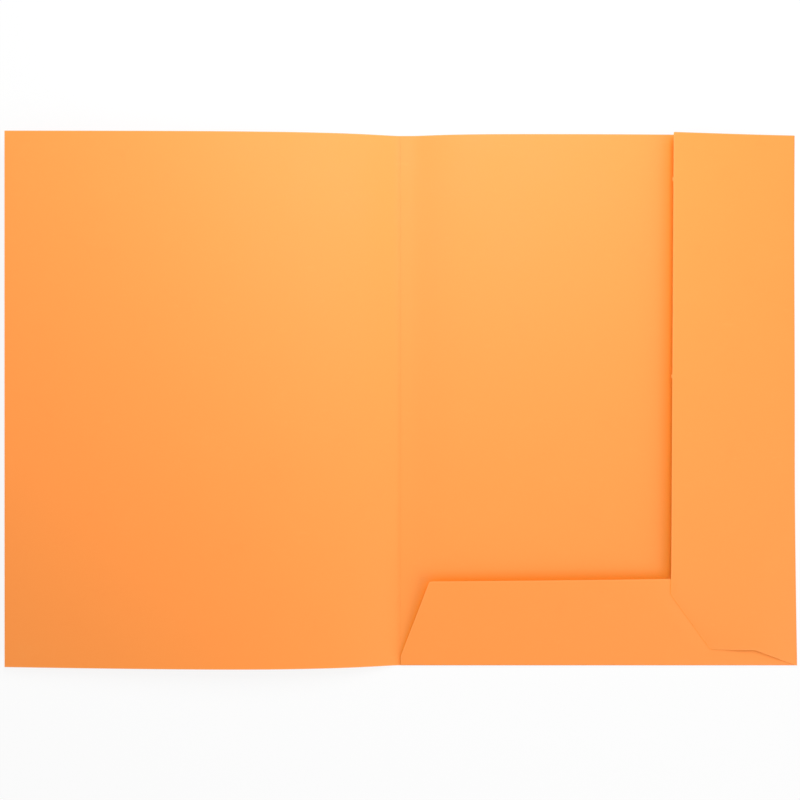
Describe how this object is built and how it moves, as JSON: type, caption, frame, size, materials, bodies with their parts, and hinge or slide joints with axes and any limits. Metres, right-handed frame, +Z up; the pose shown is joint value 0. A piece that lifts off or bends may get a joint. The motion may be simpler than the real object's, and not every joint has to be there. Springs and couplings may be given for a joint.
{
  "type": "document folder",
  "caption": "Folded card document folder lying open, with a side flap and a bottom flap turned in over the back panel to hold loose sheets.",
  "frame": {"origin": "on the table under the middle of the open folder", "axes": "+X across the open folder from the front cover to the back panel, +Y up the page, +Z up from the table"},
  "size_m": [0.476, 0.32, 0.0144],
  "materials": {
    "card_inside": "orange dyed card, uncoated, fine fibre grain, matt with a faint sheen",
    "card_outside": "orange dyed card, uncoated, fine fibre grain, matt with a faint sheen",
    "card_fold": "the same orange card, scored and rolled, slightly burnished on the fold"
  },
  "bodies": {
    "back": {"back_panel": "card_inside", "spine_fold": "card_fold", "side_fold": "card_fold", "bottom_fold": "card_fold"},
    "cover": {"front_cover": "card_inside"},
    "side_flap": {"side_flap": "card_outside"},
    "bottom_flap": {"bottom_flap": "card_outside"}
  },
  "joints": [
    {"name": "spine_hinge", "type": "hinge", "parent": "back", "child": "cover", "pos_m": [-0.0007, 0, 0.0046], "axis": [0, 1, 0], "range_deg": [-1, 172], "deforming": ["spine_fold"]},
    {"name": "side_flap_hinge", "type": "hinge", "parent": "back", "child": "side_flap", "pos_m": [0.2372, 0, 0.0008], "axis": [0, 1, 0], "range_deg": [0, 174.5], "deforming": ["side_fold"]},
    {"name": "bottom_flap_hinge", "type": "hinge", "parent": "back", "child": "bottom_flap", "pos_m": [-0.0007, -0.15945, 0.00055], "axis": [1, 0, 0], "range_deg": [0, 174.5], "deforming": ["bottom_fold"]}
  ],
  "couplings": [
    {"joint": "bottom_flap_hinge", "follows": "side_flap_hinge", "ratio": 1}
  ]
}
